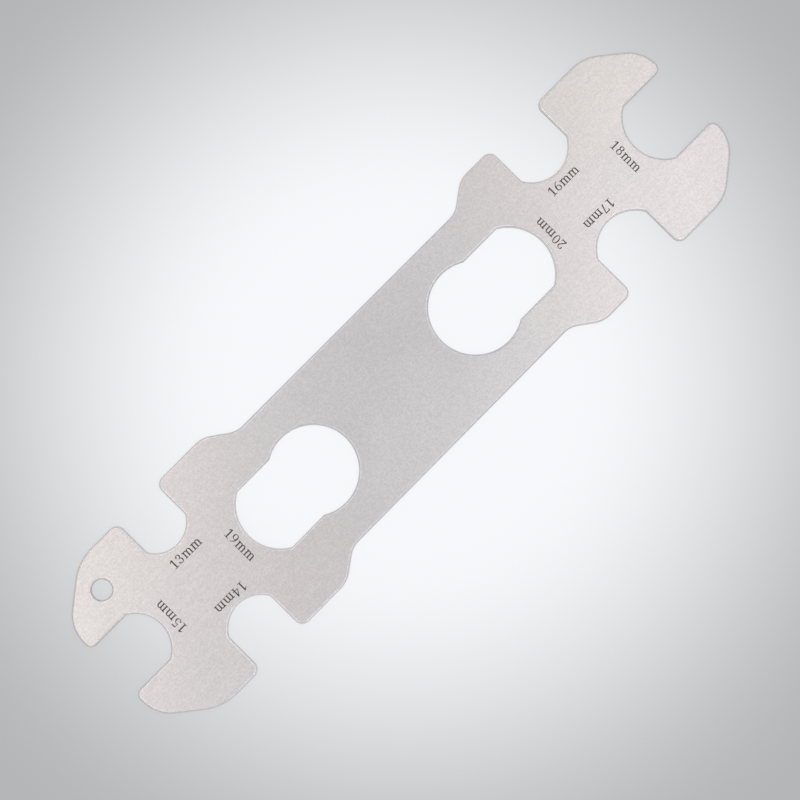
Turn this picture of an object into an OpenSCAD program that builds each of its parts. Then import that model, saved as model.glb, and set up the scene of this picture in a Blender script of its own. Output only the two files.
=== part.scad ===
// Flat eight-size spanner plate for hub cones, cut from one sheet of stainless steel.
// The plate lies on Z = 0 with its long axis along X, and its marked face is on top.

/* [Plate] */
// Length from nose to nose
plate_length = 204; // [190:0.5:230]
// Width across the two heads
head_width = 51; // [49:0.1:56]
// Width of the waist between the heads
waist_width = 40.8; // [38:0.1:46]
// Thickness of the sheet
plate_thickness = 2; // [1.5:0.1:5]
// Width of the broken edge, all round both faces
edge_break = 0.3; // [0.1:0.05:0.5]

/* [Waist] */
// Distance from the nose to the top of the shoulder's slope, on both heads
head_length = 56.25; // [55:0.05:58]
// Length of a shoulder's slope along the plate
shoulder_run = 7.05; // [6:0.05:10]
// Radius where a shoulder leaves the head's edge
shoulder_top_r = 7.1; // [3:0.1:8]
// Radius where a shoulder meets the waist
shoulder_foot_r = 6.3; // [2:0.1:8]

/* [Left head] */
// Length of the slant beside the left nose, along the plate
left_slant_run = 13; // [11:0.05:15]
// Height of the slant beside the left nose, across the plate
left_slant_rise = 10.4; // [8:0.05:11]
// Radius where the left slant meets the head's edge
left_slant_r = 13.7; // [6:0.1:18]
// Distance from the left nose to the middle of the two side jaws
left_side_jaws_from_end = 33.2; // [32:0.05:36]

/* [Right head] */
// Length of the slant beside the right nose, along the plate
right_slant_run = 12.1; // [10:0.05:14]
// Height of the slant beside the right nose, across the plate
right_slant_rise = 9.6; // [8:0.05:10]
// Radius where the right slant meets the head's edge
right_slant_r = 11.8; // [6:0.1:16]
// Distance from the right nose to the middle of the two side jaws
right_side_jaws_from_end = 37.45; // [36:0.05:39]

/* [Noses and mouths] */
// Radius of the four noses, between the plate's end and the slant
nose_r = 9.8; // [5:0.1:10]
// Radius of the corners at the mouth of a side jaw
side_mouth_r = 2.4; // [1:0.1:3]
// Radius of the corners at the mouth of an end jaw
end_mouth_r = 1.9; // [1:0.1:2]

/* [Jaws] */
// Width that each jaw and slot has over its nominal size
jaw_clearance = 0.24; // [0:0.01:0.3]
// Nominal size of the jaw in the left end
left_end_jaw = 15; // [14:0.5:16]
// Depth of the jaw in the left end, from the plate's edge to the bottom of its root
left_end_depth = 16.5; // [15.5:0.05:18]
// Nominal size of the jaw in the left head's upper side
left_upper_jaw = 13; // [12:0.5:14]
// Depth of the jaw in the left head's upper side, from the plate's edge to the bottom of its root
left_upper_depth = 14.35; // [13.5:0.05:15.5]
// Nominal size of the jaw in the left head's lower side
left_lower_jaw = 14; // [13:0.5:15]
// Depth of the jaw in the left head's lower side, from the plate's edge to the bottom of its root
left_lower_depth = 15.3; // [14.5:0.05:16]
// Nominal size of the jaw in the right end
right_end_jaw = 18; // [17:0.5:18.5]
// Depth of the jaw in the right end, from the plate's edge to the bottom of its root
right_end_depth = 18.95; // [18:0.05:20]
// Nominal size of the jaw in the right head's upper side
right_upper_jaw = 16; // [15:0.5:17]
// Depth of the jaw in the right head's upper side, from the plate's edge to the bottom of its root
right_upper_depth = 16; // [15:0.05:16.5]
// Nominal size of the jaw in the right head's lower side
right_lower_jaw = 17; // [16:0.5:18]
// Depth of the jaw in the right head's lower side, from the plate's edge to the bottom of its root
right_lower_depth = 16.95; // [16:0.05:17.5]

/* [Keyhole slots] */
// Nominal size of the left slot
left_slot = 19; // [18:0.5:19.5]
// Diameter of the left slot's entry hole
left_entry_d = 22.6; // [21:0.1:24]
// Distance from the left nose to the near end of the left slot
left_slot_from_end = 47.2; // [46:0.1:48]
// Distance from the left nose to the left entry hole's centre
left_entry_from_end = 69.9; // [68:0.1:72]
// Nominal size of the right slot
right_slot = 20; // [19:0.5:20.5]
// Diameter of the right slot's entry hole
right_entry_d = 23.6; // [22:0.1:25]
// Distance from the right nose to the near end of the right slot
right_slot_from_end = 52.9; // [52:0.1:54]
// Distance from the right nose to the right entry hole's centre
right_entry_from_end = 76.7; // [75:0.1:79]

/* [Hang hole] */
// Diameter of the hang hole
hang_hole_d = 5.1; // [3:0.1:6]
// Distance from the left nose to the hang hole's centre
hang_hole_from_end = 12.3; // [11:0.05:14]
// Distance from the long axis to the hang hole's centre
hang_hole_from_axis = 16.3; // [15:0.05:17]

/* [Hidden] */
// How far each cut runs past what it cuts
overrun = 1;
// How far a cut along an outer edge reaches outwards
edge_reach = 12;
// How far a rounding stands clear of the two edges it joins, so that it crosses both of them cleanly
crossing = 0.002;
// Sides of a full circle
$fn = 96;

half_length = plate_length / 2;
half_head = head_width / 2;
half_waist = waist_width / 2;

// Section of the room outside an edge. The edge stands at the given distance, with the room beyond it.
module outside_section(edge, reach) {
    flare = edge_break + overrun;
    polygon([
        [edge - flare, -overrun],
        [edge, edge_break],
        [edge, plate_thickness - edge_break],
        [edge - flare, plate_thickness + overrun],
        [reach, plate_thickness + overrun],
        [reach, -overrun]
    ]);
}

// Section of the room inside a wall that stands at the given distance, from the middle outwards.
module inside_section(wall) {
    flare = edge_break + overrun;
    polygon([
        [0, -overrun],
        [wall + flare, -overrun],
        [wall, edge_break],
        [wall, plate_thickness - edge_break],
        [wall + flare, plate_thickness + overrun],
        [0, plate_thickness + overrun]
    ]);
}

// Section of the sheet that is kept beyond a wall that stands at the given distance.
module kept_section(wall, reach) {
    flare = edge_break + overrun;
    polygon([
        [wall + flare, -overrun],
        [wall, edge_break],
        [wall, plate_thickness - edge_break],
        [wall + flare, plate_thickness + overrun],
        [reach + flare, plate_thickness + overrun],
        [reach + flare, -overrun]
    ]);
}

// Room to the right of a straight edge that starts at p and runs along the heading.
module straight_edge(p, heading, length) {
    translate(p)
    rotate(heading)
    mirror([0, 1, 0])
    rotate([90, 0, 90])
    linear_extrude(length)
    outside_section(0, edge_reach);
}

// Room outside a corner at p that turns left off the heading, rounded to r.
module outer_corner(p, heading, turn, r) {
    translate(p)
    rotate(heading)
    translate([-r * tan(turn / 2), r])
    rotate(-90)
    rotate_extrude(angle = turn)
    outside_section(r + crossing, r / cos(turn / 2) + overrun);
}

// Sheet kept inside a corner at p that turns right off the heading, rounded to r.
module inner_corner(p, heading, turn, r) {
    translate(p)
    rotate(heading)
    translate([-r * tan(turn / 2), -r])
    rotate(90 - turn)
    rotate_extrude(angle = turn)
    kept_section(r + crossing, r / cos(turn / 2) + overrun);
}

// Upper half of the right end: the end itself, the nose, the slant and its blend with the long edge.
module end_room(run, rise, slant_r) {
    angle = atan2(rise, run);
    nose = [half_length, half_head - rise];
    blend = [half_length - run, half_head];
    straight_edge([half_length, -overrun], 90, half_head + 2 * overrun);
    outer_corner(nose, 90, 90 - angle, nose_r);
    straight_edge(nose, 180 - angle, norm([run, rise]));
    outer_corner(blend, 180 - angle, angle, slant_r);
}

// Upper right shoulder, from the head's long edge down to the waist.
module shoulder_room() {
    top = [half_length - head_length, half_head];
    foot = [top.x - shoulder_run, half_waist];
    slope = norm(top - foot);
    angle = atan2(top.y - foot.y, shoulder_run);
    outer_corner(top, 180, angle, shoulder_top_r);
    difference() {
        union() {
            straight_edge(top, 180 + angle, slope);
            straight_edge(foot, 180, foot.x + overrun);
        }
        inner_corner(foot, 180 + angle, angle, shoulder_foot_r);
    }
}

// Half the distance between the two flats that take a hexagon of the given size.
function flat_at(size) = (size + jaw_clearance) / 2;

// Radius of the round end behind the flats: the circle through the hexagon's corners.
function corner_circle_r(size) = size / sqrt(3) + jaw_clearance / 2;

// Room for a hexagon that slides in from +Y until its centre is at the origin. The flats end on
// the circle through the hexagon's corners, so that a nut seats on the whole of both flats.
module seat_room(size, flats_reach) {
    root_r = corner_circle_r(size);
    mouth_half = flat_at(size) + edge_break + overrun;
    intersection() {
        translate([0, flats_reach])
        rotate([90, 0, 0])
        linear_extrude(flats_reach + root_r + overrun)
        both_sides()
        inside_section(flat_at(size));
        union() {
            rotate_extrude()
            inside_section(root_r);
            translate([-mouth_half, 0, -overrun])
            cube([2 * mouth_half, flats_reach, plate_thickness + 2 * overrun]);
        }
    }
}

// Jaw that opens towards +Y through an edge along the X axis, with rounded corners at its mouth.
module jaw_room(size, depth, mouth_r) {
    seat_depth = depth - corner_circle_r(size);
    translate([0, -seat_depth])
    seat_room(size, seat_depth + overrun);
    both_sides()
    outer_corner([flat_at(size), 0], 180, 90, mouth_r);
}

// Keyhole slot along +Y: a round entry hole at the origin, and flats that end at the given distance.
module slot_room(size, entry_d, end_distance) {
    seat_y = end_distance - corner_circle_r(size);
    rotate_extrude()
    inside_section(entry_d / 2);
    translate([0, seat_y])
    rotate(180)
    seat_room(size, seat_y);
}

// The child and its mirror image across the YZ plane.
module both_sides() {
    children();
    mirror([1, 0, 0])
    children();
}

// The child and its mirror image across the XZ plane.
module both_edges() {
    children();
    mirror([0, 1, 0])
    children();
}

// Everything around the plate's outer edge.
module room_around_plate() {
    both_edges() {
        straight_edge([half_length, half_head], 180, plate_length);
        end_room(right_slant_run, right_slant_rise, right_slant_r);
        mirror([1, 0, 0])
        end_room(left_slant_run, left_slant_rise, left_slant_r);
        both_sides()
        shoulder_room();
    }
}

module room_in_jaws() {
    left_jaws_x = left_side_jaws_from_end - half_length;
    right_jaws_x = half_length - right_side_jaws_from_end;
    translate([-half_length, 0])
    rotate(90)
    jaw_room(left_end_jaw, left_end_depth, end_mouth_r);
    translate([half_length, 0])
    rotate(-90)
    jaw_room(right_end_jaw, right_end_depth, end_mouth_r);
    translate([left_jaws_x, half_head])
    jaw_room(left_upper_jaw, left_upper_depth, side_mouth_r);
    translate([left_jaws_x, -half_head])
    rotate(180)
    jaw_room(left_lower_jaw, left_lower_depth, side_mouth_r);
    translate([right_jaws_x, half_head])
    jaw_room(right_upper_jaw, right_upper_depth, side_mouth_r);
    translate([right_jaws_x, -half_head])
    rotate(180)
    jaw_room(right_lower_jaw, right_lower_depth, side_mouth_r);
}

module room_in_slots() {
    translate([left_entry_from_end - half_length, 0])
    rotate(90)
    slot_room(left_slot, left_entry_d, left_entry_from_end - left_slot_from_end);
    translate([half_length - right_entry_from_end, 0])
    rotate(-90)
    slot_room(right_slot, right_entry_d, right_entry_from_end - right_slot_from_end);
}

module room_in_hang_hole() {
    translate([hang_hole_from_end - half_length, hang_hole_from_axis])
    rotate_extrude()
    inside_section(hang_hole_d / 2);
}

module wrench_plate() {
    color("#cfcac6")
    difference() {
        translate([-half_length - overrun, -half_head - overrun, 0])
        cube([plate_length + 2 * overrun, head_width + 2 * overrun, plate_thickness]);
        room_around_plate();
        room_in_jaws();
        room_in_slots();
        room_in_hang_hole();
    }
}

wrench_plate();
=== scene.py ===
from math import asin, atan2, cos, pi, radians, sin, sqrt, tan

import bmesh
import bpy
from mathutils import Matrix, Vector
from mathutils.geometry import delaunay_2d_cdt


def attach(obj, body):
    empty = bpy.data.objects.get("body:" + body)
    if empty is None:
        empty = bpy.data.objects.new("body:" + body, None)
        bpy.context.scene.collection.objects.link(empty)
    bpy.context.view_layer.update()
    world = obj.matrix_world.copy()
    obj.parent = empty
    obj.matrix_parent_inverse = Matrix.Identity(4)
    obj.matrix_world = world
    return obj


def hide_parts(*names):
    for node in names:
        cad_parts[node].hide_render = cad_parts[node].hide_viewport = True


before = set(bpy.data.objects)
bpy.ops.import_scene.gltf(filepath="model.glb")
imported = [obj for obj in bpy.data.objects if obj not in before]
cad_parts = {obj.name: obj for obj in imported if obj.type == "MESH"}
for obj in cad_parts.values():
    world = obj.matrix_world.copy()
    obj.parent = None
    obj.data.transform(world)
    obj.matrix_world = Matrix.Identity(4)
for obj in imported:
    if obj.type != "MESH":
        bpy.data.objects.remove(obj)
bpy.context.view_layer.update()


# Plate
# The real wrench is a single plate, stamped out of stainless sheet with all its jaws and slots.
# Tumbling rounds its edges over, and both faces are brushed along the length.

# Lengths are in metres: the plate lies on Z = 0 with its length along X
MM = 0.001
PLATE_LENGTH = 204 * MM
HEAD_WIDTH = 51 * MM
WAIST_WIDTH = 40.8 * MM
THICKNESS = 2 * MM
HEAD_LENGTH = 56.25 * MM
SHOULDER_RUN = 7.05 * MM
SHOULDER_TOP_R = 7.1 * MM
SHOULDER_FOOT_R = 6.3 * MM
NOSE_R = 9.8 * MM
SIDE_MOUTH_R = 2.4 * MM
END_MOUTH_R = 1.9 * MM
JAW_CLEARANCE = 0.24 * MM
EDGE_ROUND_R = 0.6 * MM
EDGE_STEPS = 6
# How far in from the outline the swept edge reaches, in edge radii
EDGE_REACH = 1.25
ARC_STEP = radians(3)
# Edges of the mesh that bend by more than this stay crisp
CRISP_BEND = radians(22)
MERGE_WITHIN = 0.001 * MM
# Everything else about each head: its slant, its side jaws, its end jaw, its slot and the slot's entry
HEADS = {
    "left": dict(
        slant_run=13 * MM, slant_rise=10.4 * MM, slant_r=13.7 * MM,
        side_jaws_from_end=33.2 * MM,
        end_jaw=15 * MM, end_depth=16.5 * MM,
        upper_jaw=13 * MM, upper_depth=14.35 * MM,
        lower_jaw=14 * MM, lower_depth=15.3 * MM,
        slot=19 * MM, slot_from_end=47.2 * MM,
        entry_d=22.6 * MM, entry_from_end=69.9 * MM,
    ),
    "right": dict(
        slant_run=12.1 * MM, slant_rise=9.6 * MM, slant_r=11.8 * MM,
        side_jaws_from_end=37.45 * MM,
        end_jaw=18 * MM, end_depth=18.95 * MM,
        upper_jaw=16 * MM, upper_depth=16 * MM,
        lower_jaw=17 * MM, lower_depth=16.95 * MM,
        slot=20 * MM, slot_from_end=52.9 * MM,
        entry_d=23.6 * MM, entry_from_end=76.7 * MM,
    ),
}
HANG_HOLE_R = 2.55 * MM
HANG_HOLE_FROM_END = 12.3 * MM
HANG_HOLE_FROM_AXIS = 16.3 * MM


def arc(centre, radius, start, end):
    """Points along an arc, both ends included. It runs clockwise where end is less than start."""
    steps = max(2, round(abs(end - start) / ARC_STEP))
    angles = [start + (end - start) * k / steps for k in range(steps + 1)]
    return [(centre[0] + radius * cos(a), centre[1] + radius * sin(a)) for a in angles]


def rounded(corners):
    """A closed outline through (x, y, radius) corners, each rounded to its radius."""
    points = []
    for before, corner, after in zip(corners[-1:] + corners[:-1], corners, corners[1:] + corners[:1]):
        here = Vector(corner[:2])
        if not corner[2]:
            points.append(here[:])
            continue
        back = (Vector(before[:2]) - here).normalized()
        ahead = (Vector(after[:2]) - here).normalized()
        half = back.angle(ahead) / 2
        centre = here + (back + ahead).normalized() * corner[2] / sin(half)
        start = here + back * corner[2] / tan(half) - centre
        turn = (pi - 2 * half) * (1 if back.cross(ahead) < 0 else -1)
        first = atan2(start.y, start.x)
        points += arc(centre, corner[2], first, first + turn)
    return points


def placed(corners, x, y, turn=0):
    """Corners turned by a number of degrees and moved to x, y."""
    c, s = cos(radians(turn)), sin(radians(turn))
    return [(x + c * px - s * py, y + s * px + c * py, r) for px, py, r in corners]


def seat(size):
    """Half the width between the flats, and the radius of the root that clears a hexagon's corners."""
    return (size + JAW_CLEARANCE) / 2, size / sqrt(3) + JAW_CLEARANCE / 2


def jaw(size, depth, mouth_r):
    """Corners of a jaw that opens towards +Y through an edge at y = 0, from its right lip to its left."""
    flat, root_r = seat(size)
    half_turn = asin(flat / root_r)
    root = arc((0, root_r - depth), root_r, half_turn - pi / 2, -half_turn - pi / 2)
    return [(flat, 0, mouth_r)] + [(x, y, 0) for x, y in root] + [(-flat, 0, mouth_r)]


def keyhole(size, entry_d, reach):
    """Corners of a slot that runs towards +Y out of a round entry hole centred on the origin."""
    flat, root_r = seat(size)
    half_turn = asin(flat / root_r)
    opening = asin(flat * 2 / entry_d)
    root = arc((0, reach - root_r), root_r, pi / 2 + half_turn, pi / 2 - half_turn)
    entry = arc((0, 0), entry_d / 2, pi / 2 - opening, opening - 3 * pi / 2)
    return [(x, y, 0) for x, y in root + entry]


def plate_outlines():
    """The plate's outer edge, anticlockwise, then its slots and its hang hole, clockwise."""
    end, half_head, half_waist = PLATE_LENGTH / 2, HEAD_WIDTH / 2, WAIST_WIDTH / 2
    left, right = HEADS["left"], HEADS["right"]
    shoulder = end - HEAD_LENGTH

    def slant(head, side_x, side_y):
        """The two corners of a head's slant, from the end to the long edge."""
        return [(side_x * end, side_y * (half_head - head["slant_rise"]), NOSE_R),
                (side_x * (end - head["slant_run"]), side_y * half_head, head["slant_r"])]

    def shoulder_corners(side_x, side_y):
        """The two corners of a shoulder, from the head down to the waist."""
        return [(side_x * shoulder, side_y * half_head, SHOULDER_TOP_R),
                (side_x * (shoulder - SHOULDER_RUN), side_y * half_waist, SHOULDER_FOOT_R)]

    left_x, right_x = left["side_jaws_from_end"] - end, end - right["side_jaws_from_end"]
    outer = slant(left, -1, -1)
    outer += placed(jaw(left["lower_jaw"], left["lower_depth"], SIDE_MOUTH_R), left_x, -half_head, 180)
    outer += shoulder_corners(-1, -1) + shoulder_corners(1, -1)[::-1]
    outer += placed(jaw(right["lower_jaw"], right["lower_depth"], SIDE_MOUTH_R), right_x, -half_head, 180)
    outer += slant(right, 1, -1)[::-1]
    outer += placed(jaw(right["end_jaw"], right["end_depth"], END_MOUTH_R), end, 0, -90)
    outer += slant(right, 1, 1)
    outer += placed(jaw(right["upper_jaw"], right["upper_depth"], SIDE_MOUTH_R), right_x, half_head)
    outer += shoulder_corners(1, 1) + shoulder_corners(-1, 1)[::-1]
    outer += placed(jaw(left["upper_jaw"], left["upper_depth"], SIDE_MOUTH_R), left_x, half_head)
    outer += slant(left, -1, 1)[::-1]
    outer += placed(jaw(left["end_jaw"], left["end_depth"], END_MOUTH_R), -end, 0, 90)

    slots = []
    for head, side, turn in ((left, -1, 90), (right, 1, -90)):
        reach = head["entry_from_end"] - head["slot_from_end"]
        corners = keyhole(head["slot"], head["entry_d"], reach)
        slots.append(placed(corners, side * (end - head["entry_from_end"]), 0, turn))
    hole = arc((HANG_HOLE_FROM_END - end, HANG_HOLE_FROM_AXIS), HANG_HOLE_R, 2 * pi, 0)[:-1]
    return [rounded(outer)] + [[(x, y) for x, y, r in slot] for slot in slots] + [hole]


def outline_curve(name, loops):
    """A curve object with one closed, straight-sided line for each loop."""
    curve = bpy.data.curves.new(name, "CURVE")
    curve.dimensions = "3D"
    for loop in loops:
        spline = curve.splines.new("POLY")
        spline.points.add(len(loop) - 1)
        spline.use_cyclic_u = True
        for point, (x, y) in zip(spline.points, loop):
            point.co = (x, y, 0, 1)
    piece = bpy.data.objects.new(name, curve)
    bpy.context.scene.collection.objects.link(piece)
    return piece


def add_node(tree, kind, inputs=(), **settings):
    """A node with its settings made, and each input set to a value or linked to a socket."""
    node = tree.nodes.new(kind)
    for name, value in settings.items():
        setattr(node, name, value)
    for name, value in dict(inputs).items():
        if isinstance(value, bpy.types.NodeSocket):
            tree.links.new(value, node.inputs[name])
        else:
            node.inputs[name].default_value = value
    return node


def times(tree, one, other):
    """Two values multiplied."""
    return add_node(tree, "ShaderNodeMath", {0: one, 1: other}, operation="MULTIPLY").outputs[0]


def plus(tree, one, other):
    """Two values added."""
    return add_node(tree, "ShaderNodeMath", {0: one, 1: other}, operation="ADD").outputs[0]


def rounded_plate_tree():
    """Geometry nodes that sweep a round-edged section along the outlines and close both faces."""
    tree = bpy.data.node_groups.new("round_edged_plate", "GeometryNodeTree")
    side = tree.interface.new_socket
    side("Outlines", in_out="INPUT", socket_type="NodeSocketGeometry")
    side("Thickness", in_out="INPUT", socket_type="NodeSocketFloat")
    side("Edge radius", in_out="INPUT", socket_type="NodeSocketFloat")
    side("Edge steps", in_out="INPUT", socket_type="NodeSocketInt")
    side("Metal", in_out="INPUT", socket_type="NodeSocketMaterial")
    side("Plate", in_out="OUTPUT", socket_type="NodeSocketGeometry")
    given = tree.nodes.new("NodeGroupInput").outputs
    result = tree.nodes.new("NodeGroupOutput")

    # Section of the edge: along the upper face, down the wall and back
    # The sweep lays its X outwards and its Y down
    inset = times(tree, given["Edge radius"], -EDGE_REACH)
    top = times(tree, given["Thickness"], -1.0)
    corners = add_node(tree, "GeometryNodeIndexSwitch", data_type="VECTOR")
    for extra in range(2):
        corners.index_switch_items.new()
    tree.links.new(add_node(tree, "GeometryNodeInputIndex").outputs[0], corners.inputs["Index"])
    for k, (across, height) in enumerate(((inset, top), (0.0, top), (0.0, 0.0), (inset, 0.0))):
        corner = add_node(tree, "ShaderNodeCombineXYZ", {"X": across, "Y": height})
        tree.links.new(corner.outputs[0], corners.inputs[str(k)])
    line = add_node(tree, "GeometryNodeMeshLine", {"Count": 4})
    shaped = add_node(tree, "GeometryNodeSetPosition",
                      {"Geometry": line.outputs[0], "Position": corners.outputs[0]})
    section = add_node(tree, "GeometryNodeMeshToCurve", {"Mesh": shaped.outputs[0]})
    section = add_node(tree, "GeometryNodeFilletCurve", {
        "Curve": section.outputs[0], "Count": given["Edge steps"], "Radius": given["Edge radius"],
    }, mode="POLY")

    # Rim: the section swept along every outline
    upright = add_node(tree, "GeometryNodeSetCurveNormal", {"Curve": given["Outlines"]}, mode="Z_UP")
    rim = add_node(tree, "GeometryNodeCurveToMesh",
                   {"Curve": upright.outputs[0], "Profile Curve": section.outputs[0]})

    # Faces: the rim's upper border filled, once at the top and once turned over at the bottom
    border = add_node(tree, "GeometryNodeInputMeshEdgeNeighbors")
    is_border = add_node(tree, "FunctionNodeCompare", {2: border.outputs[0], 3: 1},
                         data_type="INT", operation="EQUAL")
    place = add_node(tree, "GeometryNodeInputPosition")
    height = add_node(tree, "ShaderNodeSeparateXYZ", {0: place.outputs[0]})
    is_upper = add_node(tree, "FunctionNodeCompare",
                        {0: height.outputs["Z"], 1: times(tree, given["Thickness"], 0.5)},
                        data_type="FLOAT", operation="GREATER_THAN")
    chosen = add_node(tree, "FunctionNodeBooleanMath", {0: is_border.outputs[0], 1: is_upper.outputs[0]})
    loops = add_node(tree, "GeometryNodeMeshToCurve",
                     {"Mesh": rim.outputs[0], "Selection": chosen.outputs[0]})
    face = add_node(tree, "GeometryNodeFillCurve", {"Curve": loops.outputs[0]}, mode="TRIANGLES")
    lift = add_node(tree, "ShaderNodeCombineXYZ", {"Z": given["Thickness"]})
    upper = add_node(tree, "GeometryNodeTransform",
                     {"Geometry": face.outputs[0], "Translation": lift.outputs[0]})
    lower = add_node(tree, "GeometryNodeFlipFaces", {"Mesh": face.outputs[0]})

    # One closed shell, smooth over the rounding and crisp where two stretches of outline meet at an angle
    joined = add_node(tree, "GeometryNodeJoinGeometry")
    for part in (rim, upper, lower):
        tree.links.new(part.outputs[0], joined.inputs[0])
    shell = add_node(tree, "GeometryNodeMergeByDistance",
                     {"Geometry": joined.outputs[0], "Distance": MERGE_WITHIN})
    bend = add_node(tree, "GeometryNodeInputMeshEdgeAngle")
    gentle = add_node(tree, "FunctionNodeCompare", {0: bend.outputs[0], 1: CRISP_BEND},
                      data_type="FLOAT", operation="LESS_THAN")
    smooth = add_node(tree, "GeometryNodeSetShadeSmooth",
                      {"Geometry": shell.outputs[0], "Shade Smooth": gentle.outputs[0]}, domain="EDGE")
    smooth = add_node(tree, "GeometryNodeSetShadeSmooth",
                      {"Geometry": smooth.outputs[0], "Shade Smooth": True}, domain="FACE")
    real = add_node(tree, "GeometryNodeRealizeInstances", {"Geometry": smooth.outputs[0]})
    painted = add_node(tree, "GeometryNodeSetMaterial",
                       {"Geometry": real.outputs[0], "Material": given["Metal"]})
    tree.links.new(painted.outputs[0], result.inputs["Plate"])
    return tree


def made_by_nodes(source, tree, name, **values):
    """Runs the tree on the source object and returns the result as a plain mesh object of that name."""
    modifier = source.modifiers.new(name, "NODES")
    modifier.node_group = tree
    for item in tree.interface.items_tree:
        if item.in_out == "INPUT" and item.name in values:
            modifier[item.identifier] = values[item.name]
    bpy.context.view_layer.update()
    evaluated = source.evaluated_get(bpy.context.evaluated_depsgraph_get())
    piece = bpy.data.objects.new(name, bpy.data.meshes.new_from_object(evaluated))
    bpy.context.scene.collection.objects.link(piece)
    bpy.data.objects.remove(source)
    return piece


def new_material(name):
    """An empty node material, its node tree and its output node."""
    material = bpy.data.materials.new(name)
    material.use_nodes = True
    material.node_tree.nodes.clear()
    return material, material.node_tree, material.node_tree.nodes.new("ShaderNodeOutputMaterial")


def noise(tree, place, scale, stretch=(1, 1, 1), detail=2.0, seed=0.0):
    """Noise from 0 to 1 with features about 1 / scale across, drawn out by the stretch along each axis."""
    size = [scale / s for s in stretch]
    mapped = add_node(tree, "ShaderNodeMapping",
                      {"Vector": place, "Scale": size, "Location": (seed, seed, seed)})
    pattern = add_node(tree, "ShaderNodeTexNoise",
                       {"Vector": mapped.outputs[0], "Scale": 1.0, "Detail": detail})
    return pattern.outputs[0]


def spread(tree, value, low, high):
    """A 0 to 1 pattern's middle range remapped to run from low to high."""
    ranged = add_node(tree, "ShaderNodeMapRange",
                      {"Value": value, "From Min": 0.3, "From Max": 0.7, "To Min": low, "To Max": high})
    return ranged.outputs[0]


def between(tree, value, start, end, low, high):
    """A value remapped smoothly from a range of its own to run from low to high."""
    ranged = add_node(tree, "ShaderNodeMapRange",
                      {"Value": value, "From Min": start, "From Max": end, "To Min": low, "To Max": high},
                      interpolation_type="SMOOTHSTEP")
    return ranged.outputs[0]


def mixed_colour(tree, share, first, second):
    """The first colour where the share is 0, the second where it is 1."""
    made = add_node(tree, "ShaderNodeMix", {"Factor": share, 6: first, 7: second}, data_type="RGBA")
    return made.outputs[2]


# Finish of the steel. The waist is rubbed nearly smooth, and the heads keep their brushing
GRAIN_SCALE, GRAIN_DARK, GRAIN_LIGHT = 2300, 0.93, 1.07
BRUSHING_SCALE, BRUSHING_STRETCH, BRUSHING_SHADE = 3300, (20, 1, 1), 0.033
WAIST_ENDS, HEAD_BEGINS, WAIST_BRUSHING = 30 * MM, 65 * MM, 0.25
# How much brighter the colour of the rounded edges is painted, as a painted highlight
PAINTED_EDGE_HIGHLIGHT = 0.24
NEUTRAL_STEEL = (0.735, 0.724, 0.731, 1)
# Pink and straw are painted casts of lamp light, not colours of the steel
PAINTED_PINK_LIGHT_STEEL = (0.765, 0.724, 0.727, 1)
PAINTED_WARM_LIGHT_STEEL = (0.760, 0.730, 0.702, 1)
# The cut walls' colour is painted darker than the faces as painted shade, with real cut lines between the two
# ends
SHADED_CUT_DARK = (0.57, 0.56, 0.55, 1)
SHADED_CUT_LIGHT = (0.67, 0.66, 0.65, 1)
SATIN_LOW, SATIN_HIGH, CUT_ROUGHNESS = 0.36, 0.40, 0.5
SCRATCH_DEPTH = 0.02 * MM


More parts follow.
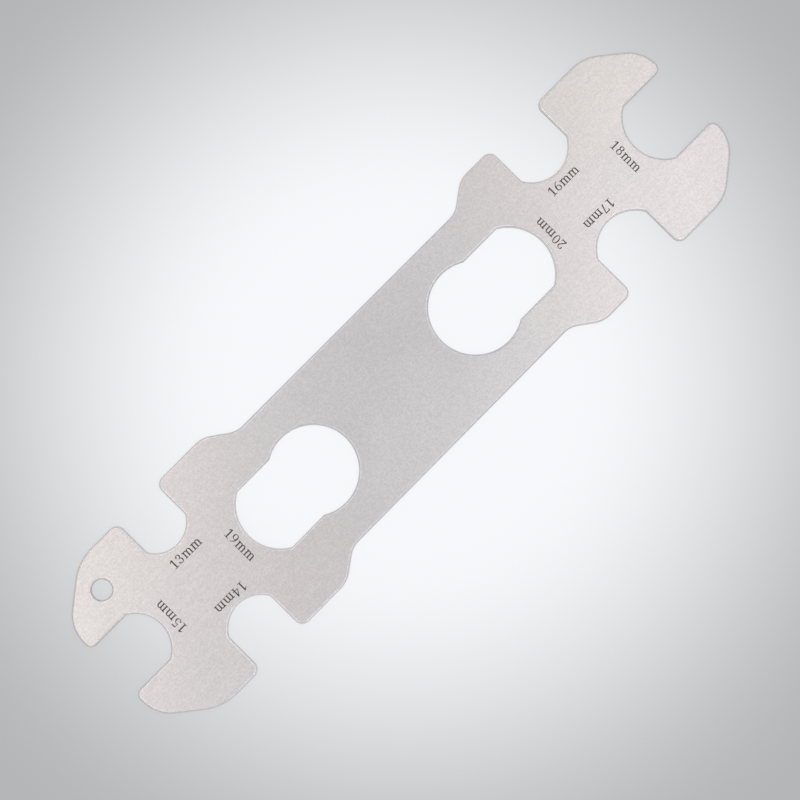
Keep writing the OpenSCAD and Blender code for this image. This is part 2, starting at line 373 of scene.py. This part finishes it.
def brushed_stainless():
    """Satin stainless sheet: fine grain, short brushing along X, painted lamp tints on the heads, a painted
    highlight on the rounded edges, and dull cut walls with painted shade.
    """
    material, tree, out = new_material("brushed_stainless")
    place = add_node(tree, "ShaderNodeTexCoord").outputs["Object"]
    grain = noise(tree, place, GRAIN_SCALE, detail=1, seed=1.9)
    brushing = noise(tree, place, BRUSHING_SCALE, BRUSHING_STRETCH, detail=2, seed=3.1)
    patches = noise(tree, place, 60, (1.4, 1, 1), detail=2, seed=12.3)
    clouds = noise(tree, place, 45, (1.3, 1, 1), detail=1, seed=5.3)

    # The brushing shows on the heads and is nearly rubbed away on the waist
    spot = add_node(tree, "ShaderNodeSeparateXYZ", {0: place}).outputs
    away = add_node(tree, "ShaderNodeMath", {0: spot["X"]}, operation="ABSOLUTE").outputs[0]
    fresh = between(tree, away, WAIST_ENDS, HEAD_BEGINS, WAIST_BRUSHING, 1.0)
    lines = times(tree, spread(tree, brushing, -BRUSHING_SHADE, BRUSHING_SHADE), fresh)
    shade = plus(tree, lines, spread(tree, grain, GRAIN_DARK, GRAIN_LIGHT))
    shade = times(tree, shade, spread(tree, clouds, 0.99, 1.01))

    # Rounded edges get a painted highlight: their colour is painted brighter, mostly round the heads
    normal = add_node(tree, "ShaderNodeNewGeometry").outputs["Normal"]
    upright = add_node(tree, "ShaderNodeSeparateXYZ", {0: normal}).outputs["Z"]
    facing = add_node(tree, "ShaderNodeMath", {0: upright}, operation="ABSOLUTE").outputs[0]
    edge_highlight_share = times(tree, between(tree, facing, 0.96, 0.998, PAINTED_EDGE_HIGHLIGHT, 0.0), fresh)
    shade = times(tree, shade, plus(tree, edge_highlight_share, 1.0))

    # The waist is neutral. The heads get a painted pink cast of lamp light, and on their +Y side a painted
    # warm straw cast of lamp light, both broken into patches
    painted_pink_light = times(tree, between(tree, away, 18 * MM, 52 * MM, 0.0, 1.0), spread(tree, patches, 0.7, 1.0))
    painted_warm_light = times(tree, between(tree, away, 40 * MM, 75 * MM, 0.0, 1.0),
                  between(tree, spot["Y"], -4 * MM, 16 * MM, 0.0, 1.0))
    painted_warm_light = times(tree, painted_warm_light, spread(tree, patches, 1.0, 0.3))
    tint = mixed_colour(tree, painted_pink_light, NEUTRAL_STEEL, PAINTED_PINK_LIGHT_STEEL)
    tint = mixed_colour(tree, painted_warm_light, tint, PAINTED_WARM_LIGHT_STEEL)
    face = add_node(tree, "ShaderNodeVectorMath", {0: tint, "Scale": shade}, operation="SCALE")

    # Walls are cut, not brushed: duller, with fine lines from face to face, and their colour is painted
    # darker than the faces as painted shade
    wall = add_node(tree, "ShaderNodeMapRange", {
        "Value": facing, "From Min": 0.25, "From Max": 0.6, "To Min": 1.0, "To Max": 0.0,
    }).outputs[0]
    cuts = noise(tree, place, 6000, (1, 1, 12), detail=2, seed=8.8)
    shaded_cut = mixed_colour(tree, spread(tree, cuts, 0, 1), SHADED_CUT_DARK, SHADED_CUT_LIGHT)
    colour = mixed_colour(tree, wall, face.outputs[0], shaded_cut)

    bump = add_node(tree, "ShaderNodeBump",
                    {"Strength": 0.3, "Distance": SCRATCH_DEPTH, "Height": plus(tree, brushing, grain)})
    along = add_node(tree, "ShaderNodeTangent", direction_type="UV_MAP", uv_map="Brushing")
    satin = spread(tree, clouds, SATIN_LOW, SATIN_HIGH)
    dullness = add_node(tree, "ShaderNodeMix",
                        {"Factor": wall, 2: satin, 3: CUT_ROUGHNESS}, data_type="FLOAT").outputs[0]
    steel = add_node(tree, "ShaderNodeBsdfPrincipled", {
        "Base Color": colour, "Metallic": 1.0, "Roughness": dullness,
        "Anisotropic": 0.4, "Anisotropic Rotation": 0.25,
        "Normal": bump.outputs[0], "Tangent": along.outputs[0],
    })
    tree.links.new(steel.outputs[0], out.inputs["Surface"])
    return material


def brushing_map(piece):
    """A UV map whose U runs along X on both faces, so that the sheen follows the brushing."""
    layer = piece.data.uv_layers.new(name="Brushing")
    for loop in piece.data.loops:
        x, y, z = piece.data.vertices[loop.vertex_index].co
        layer.data[loop.index].uv = ((x + z) / PLATE_LENGTH + 0.5, (y + z) / PLATE_LENGTH + 0.5)


steel = brushed_stainless()
plate = made_by_nodes(outline_curve("plate_outline", plate_outlines()), rounded_plate_tree(), "plate", **{
    "Thickness": THICKNESS, "Edge radius": EDGE_ROUND_R, "Edge steps": EDGE_STEPS, "Metal": steel,
})
brushing_map(plate)
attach(plate, "root")
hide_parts("wrench_plate")


# Size marks
# Each opening has its size in millimetres beside it, etched dark into the brushed face by laser.
# The letterforms here are built from plain stems, bars and bowls on a height of one.

MARK_HEIGHT = 2.45 * MM
MARK_PROUD = 0.012 * MM
MARK_SUNK = 0.03 * MM
DIGIT_ADVANCE, UNIT_ADVANCE = 0.77, 1.20
DIGIT_WIDEN = 1.07
MARK_START = 0.05
BOWL_STEP = 12
DOT_STEP = 30
ETCH_DARK = (0.045, 0.038, 0.034, 1)
ETCH_LIGHT = (0.095, 0.081, 0.073, 1)
THICK, DIGIT_THICK, THIN, SERIF = 0.14, 0.12, 0.06, 0.06
X_HEIGHT = 0.72
# Text, then where the middle of its foot stands, in mm, and its turn in degrees
MARKS = (
    ("13mm", -68.8, 6.85, 0),
    ("14mm", -68.7, -6.5, 180),
    ("15mm", -81.15, -0.5, 90),
    ("19mm", -59.05, -0.1, -90),
    ("16mm", 63.8, 5.6, 0),
    ("17mm", 64.2, -4.35, 180),
    ("18mm", 78.3, -0.1, -90),
    ("20mm", 53.15, -0.35, 90),
)


def bar(x0, y0, x1, y1):
    return [(x0, y0), (x1, y0), (x1, y1), (x0, y1)]


def bowl(x, y, rx, ry, start, end, thick=DIGIT_THICK, thin=THIN):
    """A stretch of an oval stroke, thick at its sides and thin at its top and bottom, angles in degrees."""
    steps = max(4, round(abs(end - start) / BOWL_STEP))
    angles = [radians(start + (end - start) * k / steps) for k in range(steps + 1)]
    outside = [(x + rx * cos(a), y + ry * sin(a)) for a in angles]
    inside = [(x + (rx - thick) * cos(a), y + (ry - thin) * sin(a)) for a in angles]
    return outside + inside[::-1]


def dot(x, y, r):
    return [(x + r * cos(radians(a)), y + r * sin(radians(a))) for a in range(0, 360, DOT_STEP)]


def oval(x, y, rx, ry, **weights):
    return [bowl(x, y, rx, ry, 0, 180, **weights), bowl(x, y, rx, ry, 180, 360, **weights)]


def letterforms():
    """For each character, the shapes that make it up. They overlap, and are merged into one outline later."""
    six = oval(0.31, 0.30, 0.29, 0.30) + [bowl(0.57, 0.30, 0.55, 0.70, 180, 98)]
    stems = (0.185, 0.575, 0.965)
    letter_m = [bar(0.02, X_HEIGHT - 0.09, stems[0], X_HEIGHT)]
    for x in stems:
        letter_m += [bar(x - THICK / 2, 0, x + THICK / 2, X_HEIGHT - 0.16), bar(x - 0.17, 0, x + 0.17, SERIF)]
    letter_m.append(bar(stems[0] - THICK / 2, 0, stems[0] + THICK / 2, X_HEIGHT))
    for x, after in zip(stems, stems[1:]):
        inner = (after - x - THICK) / 2
        middle = x + THICK / 2 + inner
        letter_m.append(bowl(middle, X_HEIGHT - 0.25, inner + THICK, 0.25, -20, 150, THICK, 0.09))
    return {
        "0": oval(0.30, 0.5, 0.29, 0.5),
        "1": [bar(0.25, 0, 0.385, 1), bar(0.06, 0, 0.57, SERIF),
              [(0.25, 1), (0.04, 0.80), (0.06, 0.73), (0.28, 0.88)]],
        "2": [bowl(0.30, 0.72, 0.27, 0.28, 170, -40), dot(0.11, 0.76, 0.075),
              [(0.51, 0.57), (0.41, 0.59), (0.03, 0.09), (0.02, 0.0), (0.15, 0.08)],
              bar(0.02, 0, 0.56, 0.11), [(0.50, 0.05), (0.56, 0.0), (0.60, 0.25), (0.55, 0.25)]],
        "3": [bowl(0.28, 0.755, 0.24, 0.245, 160, -90), bowl(0.27, 0.285, 0.30, 0.285, 90, -160),
              bar(0.19, 0.49, 0.30, 0.56), dot(0.10, 0.80, 0.07), dot(0.07, 0.20, 0.075)],
        "4": [bar(0.365, 0, 0.495, 1), bar(0.01, 0.26, 0.62, 0.335), bar(0.25, 0, 0.61, SERIF),
              [(0.40, 1), (0.44, 0.90), (0.09, 0.32), (0.01, 0.32)]],
        "5": [bar(0.13, 0.89, 0.54, 1), [(0.12, 1), (0.18, 1), (0.15, 0.56), (0.09, 0.51)],
              bowl(0.27, 0.31, 0.30, 0.31, 125, -160), dot(0.07, 0.20, 0.075)],
        "6": six,
        "7": [bar(0.04, 0.89, 0.58, 1), [(0.04, 1), (0.03, 0.74), (0.08, 0.74), (0.13, 0.9)],
              [(0.58, 1), (0.58, 0.93), (0.32, 0), (0.18, 0), (0.49, 0.9)]],
        "8": oval(0.30, 0.755, 0.25, 0.245) + oval(0.30, 0.285, 0.29, 0.285),
        "9": [[(0.60 - x, 1 - y) for x, y in shape] for shape in six],
        "m": letter_m,
    }


def merged(shapes):
    """Overlapping flat shapes as one net of triangles: its points and its faces."""
    points, faces = [], []
    for shape in shapes:
        turning = sum(x0 * y1 - x1 * y0 for (x0, y0), (x1, y1) in zip(shape, shape[1:] + shape[:1]))
        faces.append(list(range(len(points), len(points) + len(shape))))
        points += [Vector(p) for p in (shape if turning > 0 else shape[::-1])]
    made = delaunay_2d_cdt(points, [], faces, 0, 1e-7)
    return made[0], [f for f, inside in zip(made[2], made[5]) if inside]


def size_mark(text, x, y, turn, forms):
    """One size mark as a thin closed mesh that stands a hair proud of the face."""
    advances = [UNIT_ADVANCE if c == "m" else DIGIT_ADVANCE for c in text]
    start = -sum(advances) / 2 + MARK_START
    shapes = []
    for character, advance in zip(text, advances):
        widen = 1 if character == "m" else DIGIT_WIDEN
        shapes += [[(px * widen + start, py) for px, py in shape] for shape in forms[character]]
        start += advance
    points, faces = merged(shapes)
    shape = bmesh.new()
    corners = [shape.verts.new((p.x * MARK_HEIGHT, p.y * MARK_HEIGHT, THICKNESS - MARK_SUNK)) for p in points]
    made = [shape.faces.new([corners[k] for k in f]) for f in faces]
    bmesh.ops.delete(shape, geom=[v for v in shape.verts if not v.link_faces], context="VERTS")
    raised = bmesh.ops.extrude_face_region(shape, geom=made, use_keep_orig=True)["geom"]
    up = [v for v in raised if isinstance(v, bmesh.types.BMVert)]
    bmesh.ops.translate(shape, verts=up, vec=(0, 0, MARK_SUNK + MARK_PROUD))
    bmesh.ops.recalc_face_normals(shape, faces=shape.faces)
    shape.transform(Matrix.Translation((x * MM, y * MM, 0)) @ Matrix.Rotation(radians(turn), 4, "Z"))
    mesh = bpy.data.meshes.new("size_mark_" + text)
    shape.to_mesh(mesh)
    shape.free()
    return mesh


def etched_mark():
    """Laser etching: a dull dark brown oxide, mottled, with a little of the steel showing through."""
    material, tree, out = new_material("etched_mark")
    place = add_node(tree, "ShaderNodeTexCoord").outputs["Object"]
    mottle = noise(tree, place, 2600, detail=3, seed=4.4)
    streaks = noise(tree, place, 5000, (12, 1, 1), detail=2, seed=9.2)
    colour = mixed_colour(tree, spread(tree, mottle, 0, 1), ETCH_DARK, ETCH_LIGHT)
    bump = add_node(tree, "ShaderNodeBump", {"Strength": 0.3, "Distance": SCRATCH_DEPTH, "Height": streaks})
    etch = add_node(tree, "ShaderNodeBsdfPrincipled", {
        "Base Color": colour, "Metallic": 0.0, "Roughness": spread(tree, mottle, 0.55, 0.7),
        "Normal": bump.outputs[0],
    })
    tree.links.new(etch.outputs[0], out.inputs["Surface"])
    return material


etching = etched_mark()
forms = letterforms()
for text, x, y, turn in MARKS:
    mesh = size_mark(text, x, y, turn, forms)
    mesh.materials.append(etching)
    mark = bpy.data.objects.new("size_mark_" + text, mesh)
    bpy.context.scene.collection.objects.link(mark)
    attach(mark, "root")


# Table, light and camera
# The wrench lies on a plain pale table, white near it, with a painted fall-off of light to light grey away
# from it.
# A wide soft sky and two soft lamps, to the left and right of the picture, light the steel.

FLOOR_RADIUS = 3.0
FLOOR_DROP = 0.05 * MM
FLOOR_GLOW = 0.85
FLOOR_RED, FLOOR_GREEN = 0.965, 0.975
# The table's painted pool of light is white up to the first distance and falls to its grey level beyond the
# second
PAINTED_POOL_WITHIN, PAINTED_FALLOFF_BEYOND, PAINTED_FALLOFF_LEVEL = 40 * MM, 140 * MM, 0.50
# Level of the sky at each height, from the horizon at 0 to straight up at 1
SKY_STOPS = (
    (0.0, 0.48), (0.3, 0.48), (0.5, 0.53), (0.75, 0.58),
    (0.86, 0.73), (0.91, 0.75), (0.96, 0.47), (1.0, 0.42),
)
SKY_BLUE = 1.01
CAMERA_AT = Vector((-34.144, -13.217, 449.491)) * MM
CAMERA_AIM = Vector((-4.495, -2.942, 1.45)) * MM
PICTURE_UP = Vector((0.708229, 0.703167, 0.062991))
FOCAL_LENGTH, SENSOR = 81.0, 36.0
BOX_MIDDLE, BOX_ASIDE = Vector((-27, -15, 360)) * MM, 141 * MM
BOX_WIDTH, BOX_LENGTH, BOX_POWER = 100 * MM, 560 * MM, 0.2
BOX_COLOUR = (1.0, 0.98, 0.965)
BOX_ACROSS, BOX_ALONG = Vector((0.673, -0.740, 0)).normalized(), Vector((0.740, 0.673, 0)).normalized()
CLIP_START, CLIP_END = 0.01, 50


def soft_floor():
    """A round floor with a painted pool of light: white under the wrench and painted light grey further out,
    seen mostly as a light of its own.
    """
    material, tree, out = new_material("pale_table")
    place = add_node(tree, "ShaderNodeTexCoord").outputs["Object"]
    away = add_node(tree, "ShaderNodeVectorMath", {0: place}, operation="LENGTH").outputs["Value"]
    # A painted pool of light: white near the wrench, greyer further out
    level = between(tree, away, PAINTED_POOL_WITHIN, PAINTED_FALLOFF_BEYOND, 1.0, PAINTED_FALLOFF_LEVEL)
    tooth = noise(tree, place, 900, detail=2)
    bump = add_node(tree, "ShaderNodeBump", {"Strength": 0.05, "Distance": 0.0001, "Height": tooth})
    colour = add_node(tree, "ShaderNodeCombineColor", {
        "Red": times(tree, level, FLOOR_RED), "Green": times(tree, level, FLOOR_GREEN), "Blue": level,
    }).outputs[0]
    paint = add_node(tree, "ShaderNodeBsdfPrincipled", {
        "Base Color": colour, "Roughness": 0.9, "Specular IOR Level": 0.0, "Normal": bump.outputs[0],
    })
    glow = add_node(tree, "ShaderNodeEmission", {"Color": colour, "Strength": 1.0})
    ray = add_node(tree, "ShaderNodeLightPath").outputs
    seen = plus(tree, plus(tree, ray["Is Camera Ray"], ray["Is Glossy Ray"]), ray["Is Transmission Ray"])
    mixed = add_node(tree, "ShaderNodeMixShader",
                     {0: times(tree, seen, FLOOR_GLOW), 1: paint.outputs[0], 2: glow.outputs[0]})
    tree.links.new(mixed.outputs[0], out.inputs["Surface"])
    mesh = bpy.data.meshes.new("table")
    shape = bmesh.new()
    bmesh.ops.create_circle(shape, cap_ends=True, segments=96, radius=FLOOR_RADIUS,
                            matrix=Matrix.Translation((0, 0, -FLOOR_DROP)))
    shape.to_mesh(mesh)
    shape.free()
    mesh.materials.append(material)
    floor = bpy.data.objects.new("table", mesh)
    bpy.context.scene.collection.objects.link(floor)


def soft_sky():
    """Even studio light, brightest in a ring high overhead and dimmer straight up and near the horizon."""
    world = bpy.data.worlds.new("studio")
    world.use_nodes = True
    tree = world.node_tree
    tree.nodes.clear()
    direction = add_node(tree, "ShaderNodeTexCoord").outputs["Generated"]
    height = add_node(tree, "ShaderNodeSeparateXYZ", {0: direction}).outputs["Z"]
    ramp = add_node(tree, "ShaderNodeValToRGB", {"Fac": height})
    while len(ramp.color_ramp.elements) < len(SKY_STOPS):
        ramp.color_ramp.elements.new(0.5)
    for element, (at, level) in zip(ramp.color_ramp.elements, SKY_STOPS):
        element.position = at
        element.color = (level, level, level * SKY_BLUE, 1)
    light = add_node(tree, "ShaderNodeBackground", {"Color": ramp.outputs[0], "Strength": 1.0})
    out = tree.nodes.new("ShaderNodeOutputWorld")
    tree.links.new(light.outputs[0], out.inputs["Surface"])
    bpy.context.scene.world = world


def soft_box(name, place, aim, along):
    """A long soft box at a place, with its long side in the given direction, turned to face its aim."""
    lamp = bpy.data.lights.new(name, "AREA")
    lamp.shape = "RECTANGLE"
    lamp.size, lamp.size_y = BOX_WIDTH, BOX_LENGTH
    lamp.energy = BOX_POWER
    lamp.color = BOX_COLOUR
    back = (place - aim).normalized()
    turned = Matrix((along.cross(back), along, back)).transposed().to_4x4()
    stand = bpy.data.objects.new(name, lamp)
    stand.matrix_world = Matrix.Translation(place) @ turned
    bpy.context.scene.collection.objects.link(stand)


soft_floor()
soft_sky()
# Each box aims a third of the way out to its own side
for name, side in (("soft_box_left", -BOX_ASIDE), ("soft_box_right", BOX_ASIDE)):
    soft_box(name, BOX_MIDDLE + side * BOX_ACROSS, side / 3 * BOX_ACROSS, BOX_ALONG)

back = (CAMERA_AT - CAMERA_AIM).normalized()
right = PICTURE_UP.cross(back).normalized()
turned = Matrix((right, back.cross(right), back)).transposed().to_4x4()
lens = bpy.data.cameras.new("camera")
lens.sensor_width = SENSOR
lens.lens = FOCAL_LENGTH
lens.clip_start, lens.clip_end = CLIP_START, CLIP_END
camera = bpy.data.objects.new("camera", lens)
camera.matrix_world = Matrix.Translation(CAMERA_AT) @ turned
bpy.context.scene.collection.objects.link(camera)
bpy.context.scene.camera = camera
bpy.context.scene.view_settings.view_transform = "Standard"
